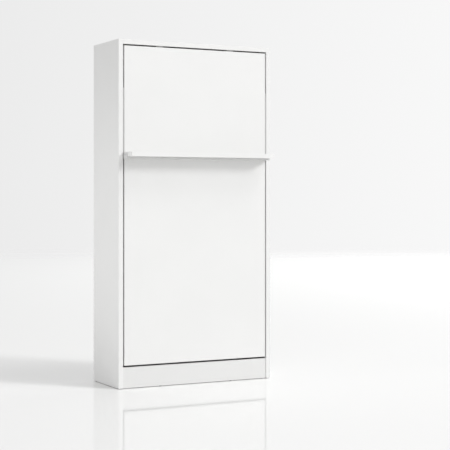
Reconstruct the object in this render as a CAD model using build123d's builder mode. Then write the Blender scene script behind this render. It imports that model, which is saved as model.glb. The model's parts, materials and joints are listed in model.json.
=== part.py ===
from build123d import *
import os
from math import atan2, cos, degrees, hypot, sin

# A vertical single wall bed in its cabinet, closed. +X is the viewer's right, -Y the front of the
# cabinet, +Z up. The origin is on the floor, in the middle of the width and of the whole depth.
# Millimetres throughout. Anything with a mirror twin is built for side -1 (left) and side +1 (right).

# ---------------------------------------------------------------- driving dimensions
WIDTH = 1080.0  # cabinet, outside
DEPTH = 420.0
HEIGHT = 2180.0
BOARD = 30.0  # side panels and top panel
GLIDE = 3.0  # plastic glides that keep the boards off the floor
SHELF_REACH = 120.0  # how far the shelf stands out of the cabinet's front
SHELF_THICK = 28.0
SHELF_LOW = 1447.0  # underside of the shelf board
FOOT_BAR = (54.0, 12.0, 1.5)  # tube under the shelf, the bed's foot: depth, height, wall
PAD = 2.0  # felt under the foot bar, which stands on the floor when the bed is down
PLINTH_TOP = 133.0
PLINTH_THICK = 19.0
PLINTH_RECESS = 5.0
SIDE_GAP = 9.0  # between the front panel and the cabinet
TOP_GAP = 9.5
FOOT_GAP = 11.5
PANEL_THICK = 19.0
BACK_THICK = 8.0
WALL_RAIL_THICK = 18.0
MATTRESS = (900.0, 160.0, 1900.0)  # width, thickness, length
PIVOT_SETBACK = 80.0  # main pivot, behind the front face
EDGE = 0.8  # rounding of the boards' visible edges
REBATE = 12.0  # how far the back panels' rebate reaches into each side panel
SIDES = ((-1, "left"), (1, "right"))

# ---------------------------------------------------------------- the cabinet's planes
FRONT_Y = -(DEPTH + SHELF_REACH) / 2 + SHELF_REACH
BACK_Y = FRONT_Y + DEPTH
OUTER_X = WIDTH / 2
INNER_X = OUTER_X - BOARD
TOP_LOW = HEIGHT - BOARD
PANEL_X = INNER_X - SIDE_GAP
PANEL_BACK = FRONT_Y + PANEL_THICK
PANEL_LOW = PLINTH_TOP + FOOT_GAP
PANEL_HIGH = TOP_LOW - TOP_GAP
PLINTH_FRONT = FRONT_Y + PLINTH_RECESS
PLINTH_BACK = PLINTH_FRONT + PLINTH_THICK
RAIL_BACK = BACK_Y - BACK_THICK
RAIL_FRONT = RAIL_BACK - WALL_RAIL_THICK

# ---------------------------------------------------------------- the leg that is also the shelf
ARM_THICK = 4.0
ARM_WIDTH = 60.0
ARM_OUT = INNER_X - 3.5  # outer face of each arm, clear of the cabinet side
ARM_IN = ARM_OUT - ARM_THICK
ARM_FRONT = FRONT_Y + 1.0
ARM_PIVOT = (FRONT_Y + 36.0, 1850.0)  # (y, z)
ARM_TOP = ARM_PIVOT[1] + 35.0
SHELF_TOP = SHELF_LOW + SHELF_THICK
FOOT_LOW = SHELF_LOW - FOOT_BAR[1]
LEG_LENGTH = ARM_PIVOT[1] - (FOOT_LOW - PAD)
FOOT_Y = (FRONT_Y - 1 - FOOT_BAR[0], FRONT_Y - 1)  # the foot bar, 1 mm off the front panel
ARM_HEAD_R = 22.0
ARM_CORNER = 6.0
HEAD_LOW = ARM_PIVOT[1] - 60.0  # where the arm's shaped head meets its straight bar

# The main pivot is as high as it takes for the pads to reach the floor when the panel is level.
PIVOT_Y = FRONT_Y + PIVOT_SETBACK
PIVOT = (PIVOT_Y, LEG_LENGTH + PIVOT_Y - ARM_PIVOT[0])

# The levelling rods make a parallelogram with the two pivots, so the shelf stays level.
LINK_OFFSET = 28.0
ROD_FOOT = (PIVOT[0] + LINK_OFFSET, PIVOT[1] + LINK_OFFSET)
ROD_HEAD = (ARM_PIVOT[0] + LINK_OFFSET, ARM_PIVOT[1] + LINK_OFFSET)
ROD_WIDTH = 16.0
ROD_EYE_R = 12.0
ROD_X = (498.0, 502.2)  # inner and outer face

# ---------------------------------------------------------------- the bed frame
FRAME_X = 480.0  # outer face of the steel side rails
TUBE = (30.0, 40.0)  # across the bed, through its thickness
TUBE_WALL = 2.0
TUBE_CORNER = 3.0
FRAME_LOW = 170.0
FRAME_HIGH = 2125.0
TUBE_BACK = PANEL_BACK + TUBE[1]
TUBE_IN = FRAME_X - TUBE[0]
MATTRESS_LOW = 192.0
MATTRESS_FRONT = TUBE_BACK + 13.0
MATTRESS_BACK = MATTRESS_FRONT + MATTRESS[1]
SLAT_COUNT = 15
SLAT_PITCH = 130.0
SLAT_FIRST = 232.0
SLAT = (892.0, 8.0, 53.0)  # length, thickness, width
SLAT_CROWN = 8.0
SLAT_ENDS_Y = TUBE_BACK - 5.0  # front face of a slat at its ends
CROSS_RAILS = (780.0, 1430.0)

# ---------------------------------------------------------------- gas struts, one in each side gap
STRUT_X = 493.0
STRUT_TOP = (110.0, 1050.0)  # (y, z) on the cabinet side
STRUT_ARM = 170.0  # distance from the main pivot to the strut's lower end
STRUT_FOOT = (PIVOT[0], PIVOT[1] - STRUT_ARM)
STRUT_LENGTH = hypot(STRUT_TOP[0] - STRUT_FOOT[0], STRUT_TOP[1] - STRUT_FOOT[1])
STRUT_LEAN = atan2(STRUT_TOP[0] - STRUT_FOOT[0], STRUT_TOP[1] - STRUT_FOOT[1])
STRUT_TUBE = (11.0, 9.5, 420.0)  # outer radius, bore radius, length
STRUT_ROD_R = 5.0
STRUT_HEAD = 40.0  # from the upper eye's centre to the tube's closed end
STRUT_WALL = 6.0  # the tube's closed end
STRUT_GLAND = 10.0  # the seal at its open end
STRUT_NECK = (6.0, 8.0, 28.0)  # the lower socket's neck: radius, and its ends from the socket
STRUT_EYE = (13.0, 14.0)  # the upper eye's radius and width
STRUT_SOCKET_R = 10.0

# ---------------------------------------------------------------- hardware
BRACKET_X = (480.0, 485.0)
PLATE_X = (505.0, 510.0)
PIN_R = 8.0
BUSH_R = 11.0
LINK_PIN_R = 5.0
RUNNING = 0.05  # radial clearance of a running fit
SCREW = (4.0, 2.0)  # head radius, shank radius
SCREW_FREE = 0.1
PILOT = 0.05
BACK_SCREW = 16.0  # lengths of the screws
PLATE_SCREW = 20.0
PANEL_SCREW = 15.0
SHELF_SCREW = 38.0
BRACKET_THICK = 3.0  # folded brackets between the front panel and the bed frame
BOLT_R = 4.0
BOLT_Z = (300.0, 380.0, 460.0, 540.0)
STRAPS = (("head", 700.0), ("foot", 1600.0))
STRAP_WIDTH = 40.0
STRAP_THICK = 2.0
WALL_BOLT_R = 4.5
WALL_BOLT_X = 350.0
RAILS = {"lower": (GLIDE, 103.0), "middle": (1050.0, 1130.0), "upper": (2050.0, TOP_LOW)}
BACK_SPLIT = 1090.0  # the two back panels meet on the middle rail


def block(x, y, z, mode=Mode.ADD):
    """A box between two corners given as (low, high) along each axis, in the part being built."""
    with Locations((sum(x) / 2, sum(y) / 2, sum(z) / 2)):
        Box(abs(x[1] - x[0]), abs(y[1] - y[0]), abs(z[1] - z[0]), mode=mode)


def mirrored(side, inner, outer):
    """The (low, high) range of x between two distances from the middle, on one side."""
    return tuple(sorted((side * inner, side * outer)))


def side_plane(side, inner, outer):
    """The plane of a plate's lower x face, with (y, z) as its own coordinates."""
    return Plane.YZ.offset(min(mirrored(side, inner, outer)))


def across(side, x, y, z, facing=1):
    """A plane at a point, facing away from the middle of the bed, or towards it with facing -1."""
    return Plane(origin=(side * x, y, z), z_dir=(facing * side, 0, 0))


def pin(side, inner, outer, centre, radius, mode=Mode.ADD):
    """A round pin along x between two distances from the middle, at (y, z)."""
    with BuildSketch(side_plane(side, inner, outer)) as disc:
        with Locations(centre):
            Circle(radius)
    extrude(disc.sketch, amount=outer - inner, mode=mode)


def hexagon(side, inner, outer, centre, radius):
    """A nut or a bolt's head, along x between two distances from the middle, at (y, z)."""
    with BuildSketch(side_plane(side, inner, outer)) as outline:
        with Locations(centre):
            RegularPolygon(radius, 6)
    extrude(outline.sketch, amount=outer - inner)


def save(builder, name):
    """Labels a finished piece and writes its STEP file."""
    builder.part.label = name
    export_step(builder.part, f"parts/{name}.step")


def screw_group(name, planes, length):
    """Countersunk screws with their heads' flats on the given planes."""
    head_r, shank_r = SCREW
    with BuildPart() as one:
        with BuildSketch(Plane.XZ):
            with BuildLine():
                Polyline((0, 0), (head_r, 0), (shank_r, shank_r - head_r), (shank_r, -length),
                         (0, -length), close=True)
            make_face()
        revolve(axis=Axis.Z)
    with BuildPart() as group:
        with Locations(*planes):
            add(one.part)
    save(group, name)


def screw_holes(planes, depth):
    """Countersunk clearance holes for those screws, in the part being built."""
    with Locations(*planes):
        CounterSinkHole(SCREW[1] + SCREW_FREE, SCREW[0] + SCREW_FREE, depth=depth,
                        counter_sink_angle=90)


def pilot_holes(planes, length, through):
    """Holes for the ends of screws of that length, which first pass through another piece."""
    with Locations(*planes):
        Hole(SCREW[1] + PILOT, depth=length - through + 1)


os.makedirs("parts", exist_ok=True)

# ================================================================ where the fasteners go
CAM_INSET = 34.0  # cam centre, from the end of its board
CAM_R = 7.5
CAM_BOLT_R = 3.5
CAM_BOLT_GRIP = 12.0  # how deep the cam bolt sits in the side panel
CAM_SLOT = (9.0, 1.6, 2.0)  # the cross for the screwdriver: length, width, depth
CAM_SUNK = 0.3
# board: (cam centre y, z; the face's outward normal; board thickness)
CAMS = {
    "top": [((y, TOP_LOW), (0, 0, -1), BOARD) for y in (-90.0, 210.0)],
    "plinth": [((PLINTH_BACK, 70.0), (0, 1, 0), PLINTH_THICK)],
    "lower": [((RAIL_FRONT, 53.0), (0, -1, 0), WALL_RAIL_THICK)],
    "middle": [((RAIL_FRONT, 1090.0), (0, -1, 0), WALL_RAIL_THICK)],
    "upper": [((RAIL_FRONT, 2100.0), (0, -1, 0), WALL_RAIL_THICK)],
}


def cam_bolt_centre(cam):
    """(y, z) of a cam's bolt, in the middle of the board's thickness."""
    (y, z), normal, thick = cam
    return (y - normal[1] * thick / 2, z - normal[2] * thick / 2)


def cut_cams(board):
    """Bores for a board's cams and their bolts, in the part being built."""
    for cam in CAMS[board]:
        (y, z), normal, thick = cam
        bolt_y, bolt_z = cam_bolt_centre(cam)
        for side, _ in SIDES:
            with Locations(Plane(origin=(side * (INNER_X - CAM_INSET), y, z), z_dir=normal)):
                Hole(CAM_R + SCREW_FREE, depth=thick / 2 + CAM_R)
            with Locations(across(side, INNER_X, bolt_y, bolt_z)):
                Hole(CAM_BOLT_R + 0.5, depth=CAM_INSET)


BACK_SCREW_X = (-480.0, -240.0, 0.0, 240.0, 480.0)
BACK_SCREW_Z = {"lower": (15.0, 1077.0), "upper": (1103.0, 2135.0)}
BACK_EDGE_X = INNER_X + REBATE / 2
BACK_EDGE_Z = {"lower": (270.0, 540.0, 810.0), "upper": (1350.0, 1610.0, 1870.0)}


def back_screw_planes(half):
    """Screws of one back panel: a row along each rail and a column along each side panel."""
    rows = [(x, z) for z in BACK_SCREW_Z[half] for x in BACK_SCREW_X]
    columns = [(side * BACK_EDGE_X, z) for side, _ in SIDES for z in BACK_EDGE_Z[half]]
    return [Plane(origin=(x, BACK_Y, z), z_dir=(0, 1, 0)) for x, z in rows + columns]


PLATE_SCREWS = [(PIVOT[0] + dy, PIVOT[1] + dz) for dy in (-30, 56) for dz in (-60, 0, 84)]
ANCHOR_SCREWS = [(STRUT_TOP[0] + dy, STRUT_TOP[1] + dz) for dy in (-15, 15) for dz in (-35, 35)]


def plate_screw_planes(side, centres):
    """Screws that hold a steel plate to the inside of one side panel."""
    return [across(side, PLATE_X[0], y, z, facing=-1) for y, z in centres]


# ================================================================ cabinet boards
for side, word in SIDES:
    with BuildPart() as side_panel:
        block(mirrored(side, INNER_X, OUTER_X), (FRONT_Y, BACK_Y), (GLIDE, HEIGHT))
        fillet(side_panel.edges().filter_by(Axis.Z).group_by(Axis.Y)[0], EDGE)
        # rebate that takes the back panels
        block(mirrored(side, INNER_X, INNER_X + REBATE), (RAIL_BACK, BACK_Y), (GLIDE, HEIGHT),
              mode=Mode.SUBTRACT)
        for fittings in CAMS.values():
            for cam in fittings:
                with Locations(across(side, INNER_X, *cam_bolt_centre(cam), facing=-1)):
                    Hole(CAM_BOLT_R + PILOT, depth=CAM_BOLT_GRIP)
        sunk = [across(side, INNER_X, y, z, facing=-1) for y, z in PLATE_SCREWS + ANCHOR_SCREWS]
        pilot_holes(sunk, PLATE_SCREW, PLATE_X[1] - PLATE_X[0])
        edge_screws = [(side * BACK_EDGE_X, z) for half in BACK_EDGE_Z.values() for z in half]
        pilot_holes([Plane(origin=(x, RAIL_BACK, z), z_dir=(0, 1, 0)) for x, z in edge_screws],
                    BACK_SCREW, BACK_THICK)
    save(side_panel, f"side_panel_{word}")

with BuildPart() as top_panel:
    block((-INNER_X, INNER_X), (FRONT_Y, RAIL_BACK), (TOP_LOW, HEIGHT))
    fillet(top_panel.edges().filter_by(Axis.X).group_by(Axis.Y)[0], EDGE)
    cut_cams("top")
save(top_panel, "top_panel")

with BuildPart() as plinth:
    block((-INNER_X, INNER_X), (PLINTH_FRONT, PLINTH_BACK), (GLIDE, PLINTH_TOP))
    fillet(plinth.edges().filter_by(Axis.X).group_by(Axis.Y)[0].sort_by(Axis.Z)[-1], EDGE)
    cut_cams("plinth")
save(plinth, "front_plinth")

for word, (low, high) in RAILS.items():
    with BuildPart() as wall_rail:
        block((-INNER_X, INNER_X), (RAIL_FRONT, RAIL_BACK), (low, high))
        cut_cams(word)
        sunk = [Plane(origin=(x, RAIL_BACK, z), z_dir=(0, 1, 0)) for x in BACK_SCREW_X
                for rows in BACK_SCREW_Z.values() for z in rows if low < z < high]
        pilot_holes(sunk, BACK_SCREW, BACK_THICK)
        if word != "middle":
            with BuildSketch(Plane.XZ.offset(-RAIL_BACK)):
                with Locations(*[(side * WALL_BOLT_X, (low + high) / 2) for side, _ in SIDES]):
                    Circle(WALL_BOLT_R)
            extrude(amount=WALL_RAIL_THICK, mode=Mode.SUBTRACT)
    save(wall_rail, f"wall_rail_{word}")

BACK_PANELS = {"lower": (GLIDE, BACK_SPLIT - 1), "upper": (BACK_SPLIT + 1, HEIGHT - 1)}
for word, (low, high) in BACK_PANELS.items():
    with BuildPart() as back_panel:
        block((1 - INNER_X - REBATE, INNER_X + REBATE - 1), (RAIL_BACK, BACK_Y), (low, high))
        screw_holes(back_screw_planes(word), BACK_THICK)
        rail_middle = sum(RAILS[word]) / 2
        with BuildSketch(Plane.XZ.offset(-BACK_Y)):
            with Locations(*[(side * WALL_BOLT_X, rail_middle) for side, _ in SIDES]):
                Circle(WALL_BOLT_R)
        extrude(amount=BACK_THICK, mode=Mode.SUBTRACT)
    save(back_panel, f"back_panel_{word}")
screw_group("back_panel_screws", back_screw_planes("lower") + back_screw_planes("upper"), BACK_SCREW)

GLIDE_R = (12.0, 8.0)  # under the side panels, and under the plinth
GLIDE_INSET = 30.0
PLINTH_GLIDE_X = 250.0
with BuildPart() as floor_glides:
    under_sides = [(side * (OUTER_X - BOARD / 2), y) for side, _ in SIDES
                   for y in (FRONT_Y + GLIDE_INSET, FRONT_Y + DEPTH / 2, BACK_Y - GLIDE_INSET)]
    under_plinth = [(side * PLINTH_GLIDE_X, (PLINTH_FRONT + PLINTH_BACK) / 2) for side, _ in SIDES]
    with BuildSketch():
        with Locations(*under_sides):
            Circle(GLIDE_R[0])
        with Locations(*under_plinth):
            Circle(GLIDE_R[1])
    extrude(amount=GLIDE)
save(floor_glides, "floor_glides")

with BuildPart() as cam_fittings:
    for fittings in CAMS.values():
        for cam in fittings:
            (y, z), normal, thick = cam
            cam_x = INNER_X - CAM_INSET
            for side, _ in SIDES:
                face = Plane(origin=(side * cam_x, y, z), z_dir=normal).offset(-CAM_SUNK)
                with BuildSketch(face):
                    Circle(CAM_R)
                extrude(amount=-(thick / 2 + CAM_R - 1))
                with BuildSketch(face):
                    Rectangle(CAM_SLOT[0], CAM_SLOT[1])
                    Rectangle(CAM_SLOT[1], CAM_SLOT[0])
                extrude(amount=-CAM_SLOT[2], mode=Mode.SUBTRACT)
                pin(side, cam_x - CAM_R - 1, cam_x + CAM_R + 1, cam_bolt_centre(cam),
                    CAM_BOLT_R + 0.5, mode=Mode.SUBTRACT)
                pin(side, cam_x - 2, INNER_X + CAM_BOLT_GRIP - 0.5, cam_bolt_centre(cam), CAM_BOLT_R)
save(cam_fittings, "cam_fittings")

# ================================================================ cabinet hardware
PIVOT_PLATE = (110.0, 170.0, 12.0)  # y and z sizes, corner radius
PLATE_SHIFT = (13.0, 12.0)  # of its middle from the main pivot
ANCHOR_PLATE = (50.0, 92.0, 8.0)
STUD_FREE = 0.5  # clear of the strut's eye on both of its sides
STUD_IN = STRUT_X - STRUT_EYE[1] / 2 - STUD_FREE
STUD_OUT = STRUT_X + STRUT_EYE[1] / 2 + STUD_FREE
for side, word in SIDES:
    with BuildPart() as pivot_plate:
        with BuildSketch(side_plane(side, *PLATE_X)):
            with Locations((PIVOT[0] + PLATE_SHIFT[0], PIVOT[1] + PLATE_SHIFT[1])):
                RectangleRounded(*PIVOT_PLATE)
            with Locations(PIVOT):
                Circle(PIN_R, mode=Mode.SUBTRACT)
            with Locations(ROD_FOOT):
                Circle(LINK_PIN_R, mode=Mode.SUBTRACT)
        extrude(amount=PLATE_X[1] - PLATE_X[0])
        screw_holes(plate_screw_planes(side, PLATE_SCREWS), PLATE_X[1] - PLATE_X[0])
    save(pivot_plate, f"pivot_plate_{word}")

    with BuildPart() as strut_anchor:
        with BuildSketch(side_plane(side, *PLATE_X)):
            with Locations(STRUT_TOP):
                RectangleRounded(*ANCHOR_PLATE)
        extrude(amount=PLATE_X[1] - PLATE_X[0])
        screw_holes(plate_screw_planes(side, ANCHOR_SCREWS), PLATE_X[1] - PLATE_X[0])
        # stud with a shoulder and a flat head, which the strut's eye turns between
        pin(side, STUD_OUT, PLATE_X[0], STRUT_TOP, LINK_PIN_R + 4)
        pin(side, STUD_IN, STUD_OUT, STRUT_TOP, LINK_PIN_R)
        pin(side, STUD_IN - 2, STUD_IN, STRUT_TOP, LINK_PIN_R + 3)
    save(strut_anchor, f"strut_anchor_{word}")

plate_screws = [plane for side, _ in SIDES
                for plane in plate_screw_planes(side, PLATE_SCREWS + ANCHOR_SCREWS)]
screw_group("hardware_screws", plate_screws, PLATE_SCREW)

PIVOT_PIN_END = 474.0
with BuildPart() as pivot_pins:
    for side, _ in SIDES:
        pin(side, PIVOT_PIN_END, PLATE_X[1], PIVOT, PIN_R)
    chamfer(pivot_pins.faces().filter_by(Axis.X).edges(), 0.8)
save(pivot_pins, "pivot_pins")

LINK_HEAD_X = (ROD_X[0] - 1.8, ROD_X[0] - 0.3)  # thin heads that keep the levelling rods on
with BuildPart() as rod_foot_pins:
    for side, _ in SIDES:
        pin(side, LINK_HEAD_X[1], PLATE_X[1], ROD_FOOT, LINK_PIN_R)
        pin(side, *LINK_HEAD_X, ROD_FOOT, LINK_PIN_R + 2.5)
save(rod_foot_pins, "rod_foot_pins")

STOP_X = (488.0, INNER_X)
STOP_Z = (2010.0, 2060.0)
STOP_PAD = 2.5
STOP_GAP = 0.3  # the closed panel just clears its pads
STOP_FRONT = PANEL_BACK + STOP_GAP + STOP_PAD
CATCH_EDGE = 2.0
with BuildPart() as stop_blocks:
    for side, _ in SIDES:
        block(mirrored(side, *STOP_X), (STOP_FRONT, STOP_FRONT + 29), STOP_Z)
    fillet(stop_blocks.edges().filter_by(Axis.Z), CATCH_EDGE)
save(stop_blocks, "stop_blocks")

with BuildPart() as stop_pads:
    for side, _ in SIDES:
        block(mirrored(side, STOP_X[0] + 2, STOP_X[1] - 3), (STOP_FRONT - STOP_PAD, STOP_FRONT),
              (STOP_Z[0] + 5, STOP_Z[1] - 5))
save(stop_pads, "stop_pads")

MAGNET_X = 250.0
MAGNET_LOW = TOP_LOW - 22.0
STRIKE_THICK = 2.0
with BuildPart() as magnet_catches:
    for side, _ in SIDES:
        middle = side * MAGNET_X
        block((middle - 24, middle + 24), (PANEL_BACK + STRIKE_THICK + 0.6, PANEL_BACK + 30),
              (MAGNET_LOW, TOP_LOW))
    fillet(magnet_catches.edges().filter_by(Axis.Z), CATCH_EDGE)
save(magnet_catches, "magnet_catches")

# ================================================================ front panel and bed frame
BRACKET_Z = (215.0, 620.0, 1000.0, 1380.0, 1760.0, 2050.0)
PANEL_SCREW_X = (-TUBE_IN + 12, -TUBE_IN + 26)
PANEL_SCREWS = [Plane(origin=(side * x, PANEL_BACK + BRACKET_THICK, z), z_dir=(0, 1, 0))
                for side, _ in SIDES for x in PANEL_SCREW_X for z in BRACKET_Z]

with BuildPart() as front_panel:
    block((-PANEL_X, PANEL_X), (FRONT_Y, PANEL_BACK), (PANEL_LOW, PANEL_HIGH))
    fillet(front_panel.faces().sort_by(Axis.Y)[0].edges(), EDGE)
    pilot_holes([plane.offset(-BRACKET_THICK) for plane in PANEL_SCREWS], PANEL_SCREW, BRACKET_THICK)
save(front_panel, "front_panel")

for side, word in SIDES:
    with BuildPart() as bed_rail:
        block(mirrored(side, TUBE_IN, FRAME_X), (PANEL_BACK, TUBE_BACK), (FRAME_LOW, FRAME_HIGH))
        fillet(bed_rail.edges().filter_by(Axis.Z), TUBE_CORNER)
        block(mirrored(side, TUBE_IN + TUBE_WALL, FRAME_X - TUBE_WALL),
              (PANEL_BACK + TUBE_WALL, TUBE_BACK - TUBE_WALL), (FRAME_LOW, FRAME_HIGH),
              mode=Mode.SUBTRACT)
        for z in BOLT_Z:
            pin(side, TUBE_IN, FRAME_X, ((PANEL_BACK + TUBE_BACK) / 2, z), BOLT_R + SCREW_FREE,
                mode=Mode.SUBTRACT)
        pin(side, TUBE_IN, FRAME_X, ARM_PIVOT, LINK_PIN_R + SCREW_FREE, mode=Mode.SUBTRACT)
    save(bed_rail, f"bed_rail_{word}")

CAP_THICK = 3.0
CAP_PLUG = 18.0  # how far the cap's plug reaches into the tube
CAP_FREE = 0.2
plug_in = TUBE_WALL + CAP_FREE
with BuildPart() as rail_end_caps:
    for side, _ in SIDES:
        for end, way in ((FRAME_LOW, -1), (FRAME_HIGH, 1)):
            block(mirrored(side, TUBE_IN, FRAME_X), (PANEL_BACK + CAP_FREE, TUBE_BACK),
                  sorted((end, end + way * CAP_THICK)))
            block(mirrored(side, TUBE_IN + plug_in, FRAME_X - plug_in),
                  (PANEL_BACK + plug_in, TUBE_BACK - plug_in), sorted((end, end - way * CAP_PLUG)))
save(rail_end_caps, "rail_end_caps")

FRAME_ENDS = (("head_rail", FRAME_LOW), ("foot_rail", FRAME_HIGH - TUBE[0]))
for name, low in FRAME_ENDS:
    with BuildPart() as end_rail:
        block((-TUBE_IN, TUBE_IN), (PANEL_BACK, TUBE_BACK), (low, low + TUBE[0]))
        fillet(end_rail.edges().filter_by(Axis.X), TUBE_CORNER)
        block((-TUBE_IN, TUBE_IN), (PANEL_BACK + TUBE_WALL, TUBE_BACK - TUBE_WALL),
              (low + TUBE_WALL, low + TUBE[0] - TUBE_WALL), mode=Mode.SUBTRACT)
    save(end_rail, name)

CROSS_BACK = PANEL_BACK + 25.0
CROSS_HALF = 15.0
with BuildPart() as cross_rails:
    for z in CROSS_RAILS:
        block((-TUBE_IN, TUBE_IN), (PANEL_BACK, CROSS_BACK), (z - CROSS_HALF, z + CROSS_HALF))
        block((-TUBE_IN, TUBE_IN), (PANEL_BACK + TUBE_WALL, CROSS_BACK - TUBE_WALL),
              (z - CROSS_HALF + TUBE_WALL, z + CROSS_HALF - TUBE_WALL), mode=Mode.SUBTRACT)
save(cross_rails, "cross_rails")

SLAT_Z = [SLAT_FIRST + i * SLAT_PITCH for i in range(SLAT_COUNT)]
with BuildPart() as slats:
    half = SLAT[0] / 2
    for z in SLAT_Z:
        with BuildSketch(Plane.XY.offset(z - SLAT[2] / 2)):
            with BuildLine():
                low = ThreePointArc((-half, SLAT_ENDS_Y), (0, SLAT_ENDS_Y + SLAT_CROWN),
                                    (half, SLAT_ENDS_Y))
                high = ThreePointArc((-half, SLAT_ENDS_Y + SLAT[1]),
                                     (0, SLAT_ENDS_Y + SLAT_CROWN + SLAT[1]),
                                     (half, SLAT_ENDS_Y + SLAT[1]))
                Line(low @ 0, high @ 0)
                Line(low @ 1, high @ 1)
            make_face()
        extrude(amount=SLAT[2])
save(slats, "slats")

HOLDER_REACH = 24.0  # inwards from the side rail
HOLDER_WALL = 4.0
slot_half = SLAT[2] / 2 + 0.3
slot_y = (SLAT_ENDS_Y - 0.3, SLAT_ENDS_Y + SLAT[1] + 1.3)  # leaves room for the slat's crown
with BuildPart() as slat_holders:
    for z in SLAT_Z:
        for side, _ in SIDES:
            block(mirrored(side, TUBE_IN - HOLDER_REACH, TUBE_IN),
                  (slot_y[0] - HOLDER_WALL, slot_y[1] + HOLDER_WALL),
                  (z - slot_half - HOLDER_WALL, z + slot_half + HOLDER_WALL))
            block(mirrored(side, TUBE_IN - HOLDER_REACH, TUBE_IN - 3), slot_y,
                  (z - slot_half, z + slot_half), mode=Mode.SUBTRACT)
save(slat_holders, "slat_holders")

BRACKET_FLANGES = (36.0, 30.0)  # along the panel, and along the side rail
BRACKET_HALF = 14.0
with BuildPart() as panel_brackets:
    for z in BRACKET_Z:
        for side, _ in SIDES:
            height = (z - BRACKET_HALF, z + BRACKET_HALF)
            block(mirrored(side, TUBE_IN - BRACKET_THICK, TUBE_IN),
                  (PANEL_BACK, PANEL_BACK + BRACKET_FLANGES[1]), height)
            block(mirrored(side, TUBE_IN - BRACKET_FLANGES[0], TUBE_IN),
                  (PANEL_BACK, PANEL_BACK + BRACKET_THICK), height)
    screw_holes(PANEL_SCREWS, BRACKET_THICK)
save(panel_brackets, "panel_brackets")
screw_group("panel_screws", PANEL_SCREWS, PANEL_SCREW)

# ================================================================ bed hardware
TUBE_MIDDLE = (PANEL_BACK + TUBE_BACK) / 2
BOSS_END = 497.0
BOSS_R = 16.0
LUG_R = 16.0  # the bracket's outline round the gas strut's stud
ARM_R = 14.0  # and along the bed rail
arm_ends = [(TUBE_MIDDLE - 3, BOLT_Z[0] - 15), (TUBE_MIDDLE - 3, BOLT_Z[-1] + 5)]
STUD_STEPS = (BRACKET_X[1], BRACKET_X[1] + 1.5, BRACKET_X[1] + 3)  # shoulder, then stud
for side, word in SIDES:
    with BuildPart() as bed_bracket:
        with BuildSketch(side_plane(side, *BRACKET_X)):
            with Locations(PIVOT):
                Circle(BOSS_R + 6)
            with Locations(STRUT_FOOT):
                Circle(LUG_R)
            with Locations(*arm_ends):
                Circle(ARM_R)
            make_hull()
            with Locations(*[(TUBE_MIDDLE, z) for z in BOLT_Z]):
                Circle(BOLT_R + SCREW_FREE, mode=Mode.SUBTRACT)
        extrude(amount=BRACKET_X[1] - BRACKET_X[0])
        pin(side, BRACKET_X[1], BOSS_END, PIVOT, BOSS_R)
        pin(side, BRACKET_X[0], BOSS_END, PIVOT, BUSH_R, mode=Mode.SUBTRACT)
        # stud that the gas strut's lower socket sits on
        pin(side, *STUD_STEPS[:2], STRUT_FOOT, STRUT_SOCKET_R)
        pin(side, *STUD_STEPS[1:], STRUT_FOOT, LINK_PIN_R)
    save(bed_bracket, f"bed_bracket_{word}")

BUSH_COLLAR = 1.5
with BuildPart() as pivot_bushes:
    for side, _ in SIDES:
        pin(side, BRACKET_X[0], BOSS_END, PIVOT, BUSH_R)
        pin(side, BOSS_END, BOSS_END + BUSH_COLLAR, PIVOT, BUSH_R + 4)
        pin(side, BRACKET_X[0], BOSS_END + BUSH_COLLAR, PIVOT, PIN_R + RUNNING, mode=Mode.SUBTRACT)
save(pivot_bushes, "pivot_bushes")

CLIP_X = (PIVOT_PIN_END + 3.5, PIVOT_PIN_END + 5.5)
with BuildPart() as pivot_clips:
    for side, _ in SIDES:
        pin(side, *CLIP_X, PIVOT, PIN_R + 5)
        pin(side, *CLIP_X, PIVOT, PIN_R + RUNNING, mode=Mode.SUBTRACT)
save(pivot_clips, "pivot_clips")

BOLT_HEAD = (7.5, 5.0)  # across the corners from the middle, and thickness
BOLT_NUT = (7.5, 6.0)
with BuildPart() as bracket_bolts:
    for side, _ in SIDES:
        for z in BOLT_Z:
            hexagon(side, BRACKET_X[1], BRACKET_X[1] + BOLT_HEAD[1], (TUBE_MIDDLE, z), BOLT_HEAD[0])
            hexagon(side, TUBE_IN - BOLT_NUT[1], TUBE_IN, (TUBE_MIDDLE, z), BOLT_NUT[0])
            pin(side, TUBE_IN - BOLT_NUT[1] - 1, BRACKET_X[1], (TUBE_MIDDLE, z), BOLT_R)
save(bracket_bolts, "bracket_bolts")

LEG_BOSS_OUT = ARM_IN - 0.5
with BuildPart() as leg_pivot_blocks:
    for side, _ in SIDES:
        pin(side, FRAME_X, LEG_BOSS_OUT, ARM_PIVOT, PIN_R + 6)
        pin(side, FRAME_X, LEG_BOSS_OUT, ARM_PIVOT, PIN_R + RUNNING, mode=Mode.SUBTRACT)
save(leg_pivot_blocks, "leg_pivot_blocks")

LEG_HEAD = (11.0, 1.5)  # radius and thickness of the head let into each arm
LEG_NUT = (9.0, 7.0)
with BuildPart() as leg_pivot_bolts:
    for side, _ in SIDES:
        pin(side, ARM_OUT - LEG_HEAD[1], ARM_OUT, ARM_PIVOT, LEG_HEAD[0])
        pin(side, FRAME_X, ARM_OUT - LEG_HEAD[1], ARM_PIVOT, PIN_R)
        pin(side, TUBE_IN - LEG_NUT[1] - 1, FRAME_X, ARM_PIVOT, LINK_PIN_R)
        hexagon(side, TUBE_IN - LEG_NUT[1], TUBE_IN, ARM_PIVOT, LEG_NUT[0])
save(leg_pivot_bolts, "leg_pivot_bolts")

with BuildPart() as strike_plates:
    for side, _ in SIDES:
        middle = side * MAGNET_X
        block((middle - 22, middle + 22), (PANEL_BACK, PANEL_BACK + STRIKE_THICK),
              (MAGNET_LOW, PANEL_HIGH - 2))
save(strike_plates, "strike_plates")

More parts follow.
